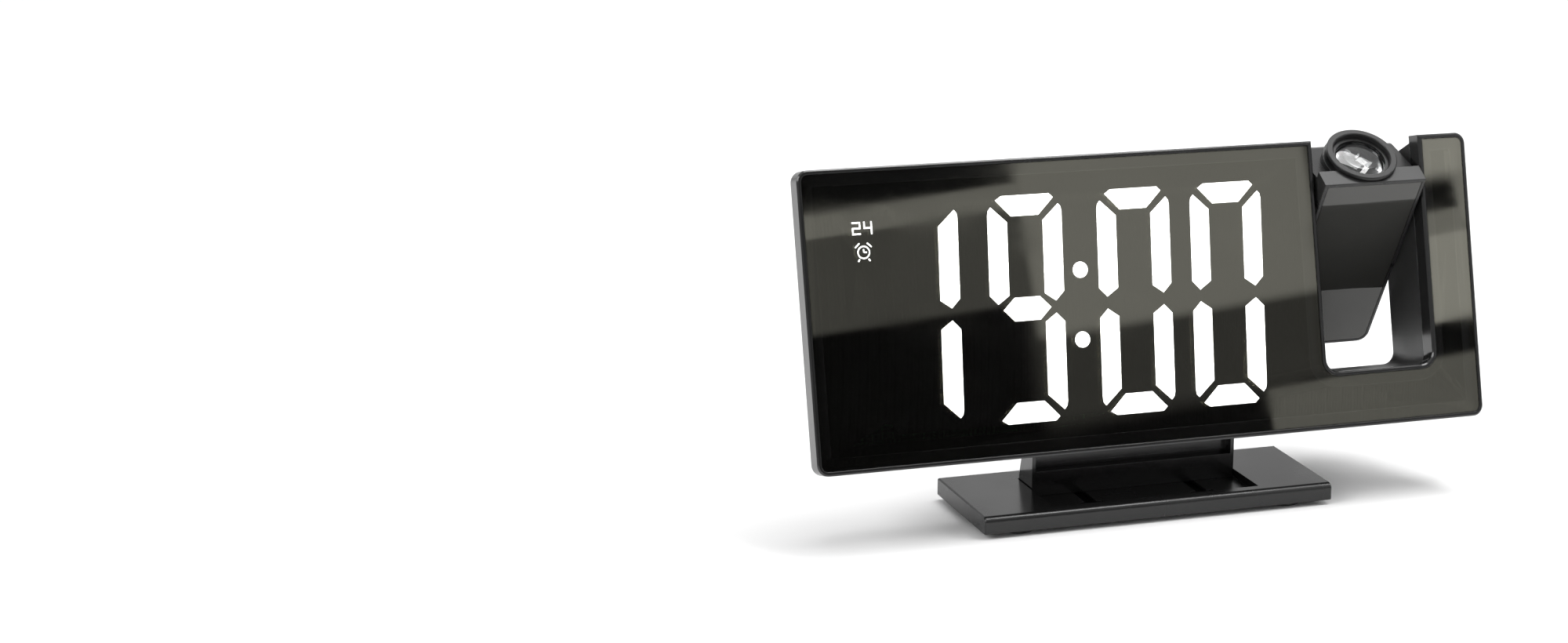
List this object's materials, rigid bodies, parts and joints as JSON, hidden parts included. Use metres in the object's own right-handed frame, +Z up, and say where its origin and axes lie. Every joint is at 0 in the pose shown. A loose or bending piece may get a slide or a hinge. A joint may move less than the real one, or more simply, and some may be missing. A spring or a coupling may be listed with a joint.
{
  "type": "projection alarm clock",
  "caption": "Mirror-faced digital alarm clock on a low stand, with a tilting projector arm set in a notch of its casing, focus ring and rear keys.",
  "frame": {"origin": "centre of the bounding box's footprint, on the surface that the feet rest on", "axes": "+X along the panel to the projector's side, +Y from the mirror front to the back, +Z up"},
  "size_m": [0.19, 0.053, 0.0971],
  "materials": {
    "gloss_black": "glossy",
    "satin_black": "satin",
    "dark_grey": "satin",
    "inner_black": "matte",
    "mirror_window": "half-mirror",
    "arm_mirror": "polished",
    "lit_white": "lit from behind",
    "unlit_smoke": "matte",
    "lens_glass": "polished",
    "slide_film": "film",
    "board_green": "solder mask",
    "chip_black": "moulded",
    "lamp_yellow": "moulded",
    "steel": "plated",
    "spring_steel": "plated",
    "brass": "plain",
    "ballast_steel": "raw",
    "rubber": "matte",
    "wire_sleeve": "matte",
    "white_nylon": "moulded"
  },
  "bodies": {
    "stand": {"base_shell": "gloss_black", "base_ballast": "ballast_steel", "base_underplate": "satin_black", "base_screws": "steel", "rubber_feet": "rubber"},
    "clock": {"front_frame": "gloss_black", "mirror_lens": "mirror_window", "display_housing": "inner_black", "lit_segments": "lit_white", "unlit_segments": "unlit_smoke", "colon_lights": "lit_white", "indicator_lights": "lit_white", "display_board": "board_green", "display_lamps": "lamp_yellow", "board_spacers": "white_nylon", "main_board": "board_green", "board_screws": "steel", "board_chips": "chip_black", "wire_connector": "white_nylon", "key_switches": "chip_black", "dc_socket": "chip_black", "piezo_sounder": "brass", "backup_cell": "steel", "cell_contacts": "spring_steel", "battery_door": "satin_black", "battery_door_screw": "steel", "casing_screws": "steel", "pivot_bushes": "satin_black", "pivot_washers": "spring_steel", "projector_wires": "wire_sleeve", "rear_cover": "satin_black", "stand_neck": "gloss_black", "neck_screws": "steel"},
    "projector": {"projector_housing": "gloss_black", "projector_mirror": "arm_mirror", "projector_back_cover": "gloss_black", "projector_screws": "steel", "pivot_shafts": "steel", "pivot_clips": "spring_steel", "light_box": "inner_black", "image_slide": "slide_film", "condenser_lens": "lens_glass", "projector_led_board": "board_green", "projector_led": "lamp_yellow"},
    "lens_carrier": {"lens_cell": "inner_black", "projection_lens": "lens_glass", "lens_retainer": "dark_grey"},
    "focus": {"focus_ring": "dark_grey"},
    "set_key_body": {"set_key": "dark_grey"},
    "alarm_key_body": {"alarm_key": "dark_grey"},
    "down_key_body": {"down_key": "dark_grey"},
    "up_key_body": {"up_key": "dark_grey"},
    "projector_key_body": {"projector_key": "dark_grey"},
    "snooze_body": {"snooze_bar": "gloss_black"}
  },
  "joints": [
    {"name": "stand_slide", "type": "slide", "parent": "stand", "child": "clock", "axis": [0, -1, 0], "range_m": [0, 0.0155]},
    {"name": "projector_tilt", "type": "hinge", "parent": "clock", "child": "projector", "pos_m": [0, 0.00161, 0.08147], "axis": [1, 0, 0], "range_deg": [-135.2, 44.8]},
    {"name": "lens_travel", "type": "slide", "parent": "projector", "child": "lens_carrier", "axis": [0, -0.509, 0.8607], "range_m": [0, 0.002]},
    {"name": "focus_turn", "type": "hinge", "parent": "lens_carrier", "child": "focus", "pos_m": [0.0641, -0.00011, 0.08045], "axis": [0, -0.509, 0.8607], "range_deg": [0, 360]},
    {"name": "set_key_press", "type": "slide", "parent": "clock", "child": "set_key_body", "axis": [0, -0.9677, 0.2521], "range_m": [0, 0.0006], "stiffness_N_per_m": 800, "springref_m": -0.0006},
    {"name": "alarm_key_press", "type": "slide", "parent": "clock", "child": "alarm_key_body", "axis": [0, -0.9677, 0.2521], "range_m": [0, 0.0006], "stiffness_N_per_m": 800, "springref_m": -0.0006},
    {"name": "down_key_press", "type": "slide", "parent": "clock", "child": "down_key_body", "axis": [0, -0.9677, 0.2521], "range_m": [0, 0.0006], "stiffness_N_per_m": 800, "springref_m": -0.0006},
    {"name": "up_key_press", "type": "slide", "parent": "clock", "child": "up_key_body", "axis": [0, -0.9677, 0.2521], "range_m": [0, 0.0006], "stiffness_N_per_m": 800, "springref_m": -0.0006},
    {"name": "projector_key_press", "type": "slide", "parent": "clock", "child": "projector_key_body", "axis": [0, -0.9677, 0.2521], "range_m": [0, 0.0006], "stiffness_N_per_m": 800, "springref_m": -0.0006},
    {"name": "snooze_press", "type": "slide", "parent": "clock", "child": "snooze_body", "axis": [0, -0.4837, -0.8752], "range_m": [0, 0.0008], "stiffness_N_per_m": 800, "springref_m": -0.0008}
  ],
  "couplings": [
    {"joint": "focus_turn", "follows": "lens_travel", "rad_per_m": 3141.6}
  ]
}
